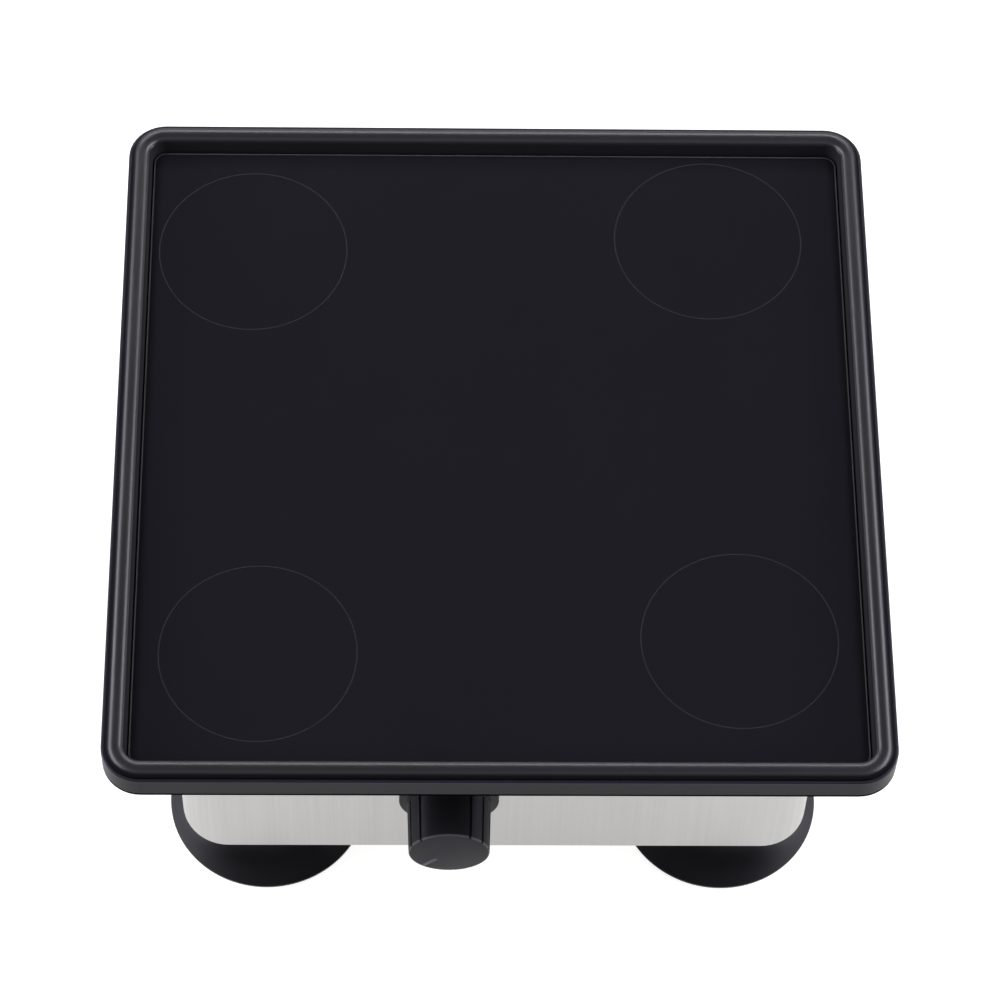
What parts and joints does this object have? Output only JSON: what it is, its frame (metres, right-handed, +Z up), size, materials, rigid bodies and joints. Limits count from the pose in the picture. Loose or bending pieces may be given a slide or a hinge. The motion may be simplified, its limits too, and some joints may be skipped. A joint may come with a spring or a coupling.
{
  "type": "dental plaster vibrating table",
  "caption": "Square vibrating table for settling dental plaster: a rubber mat in a raised-edge tray on rubber buffers, a magnet drive in a brushed casing, a strength knob and suction feet.",
  "frame": {"origin": "centre of the footprint, on the surface that the suction feet stand on", "axes": "+Z up, -Y towards the user at the knob, +X to the right seen from the knob's side"},
  "size_m": [0.24, 0.24, 0.1083],
  "materials": {
    "black_enamel": "satin",
    "mat_rubber": "matte",
    "brushed_casing": "brushed",
    "plated_sheet": "satin",
    "plated_fastener": "plated",
    "foot_rubber": "satin",
    "buffer_rubber": "matte",
    "core_iron": "laminated",
    "bobbin_plastic": "matte",
    "winding_wire": "enamelled",
    "knob_plastic": "satin",
    "pointer_inlay": "satin",
    "pot_body": "satin",
    "gland_plastic": "matte",
    "fuse_plastic": "satin",
    "fuse_glass": "clear",
    "board_laminate": "satin",
    "sink_metal": "anodised",
    "triac_case": "satin",
    "capacitor_case": "glossy",
    "choke_wire": "enamelled",
    "strip_plastic": "satin",
    "block_plastic": "satin",
    "lead_jacket": "satin",
    "earth_jacket": "satin",
    "tab_brass": "tinned"
  },
  "bodies": {
    "base": {"casing": "brushed_casing", "casing_tabs": "plated_sheet", "base_plate": "plated_sheet", "base_screws": "plated_fastener", "suction_foot_front_left": "foot_rubber", "suction_foot_front_right": "foot_rubber", "suction_foot_back_left": "foot_rubber", "suction_foot_back_right": "foot_rubber", "foot_studs": "plated_fastener", "foot_nuts": "plated_fastener", "rubber_buffers": "buffer_rubber", "buffer_studs": "plated_fastener", "buffer_nuts": "plated_fastener", "magnet_core": "core_iron", "coil_bobbin": "bobbin_plastic", "coil_winding": "winding_wire", "magnet_bracket_front": "plated_sheet", "magnet_bracket_back": "plated_sheet", "magnet_bolts": "plated_fastener", "magnet_nuts": "plated_fastener", "bracket_screws": "plated_fastener", "potentiometer_body": "pot_body", "potentiometer_nut": "plated_fastener", "lead_gland": "gland_plastic", "gland_locknut": "gland_plastic", "fuse_holder": "fuse_plastic", "fuse_locknut": "plated_fastener", "fuse_cap": "fuse_plastic", "glass_fuse": "fuse_glass", "fuse_tabs": "tab_brass", "control_board": "board_laminate", "board_standoffs": "plated_fastener", "board_screws": "plated_fastener", "heat_sink": "sink_metal", "triac": "triac_case", "film_capacitor": "capacitor_case", "choke": "choke_wire", "terminal_strip": "strip_plastic", "terminal_block": "block_plastic", "block_screws": "plated_fastener", "earth_stud": "plated_fastener", "potentiometer_leads": "lead_jacket", "coil_leads": "lead_jacket", "mains_leads": "lead_jacket", "earth_lead": "earth_jacket"},
    "table": {"table_tray": "black_enamel", "rubber_mat": "mat_rubber", "table_screws": "plated_fastener", "carrier_screws": "plated_fastener", "armature_carrier": "plated_sheet", "armature": "core_iron", "armature_screws": "plated_fastener", "buffer_inserts": "plated_fastener"},
    "knob": {"control_knob": "knob_plastic", "knob_pointer": "pointer_inlay", "knob_grip_screw": "plated_fastener", "potentiometer_shaft": "pot_body"}
  },
  "joints": [
    {"name": "table_vibration", "type": "slide", "parent": "base", "child": "table", "axis": [0, 0, 1], "range_m": [-0.001, 0.001], "stiffness_N_per_m": 60000, "springref_m": 0.00033, "deforming": ["rubber_buffers"]},
    {"name": "knob_turn", "type": "hinge", "parent": "base", "child": "knob", "pos_m": [-0.015, -0.1, 0.0569], "axis": [0, 1, 0], "range_deg": [0, 274]}
  ]
}
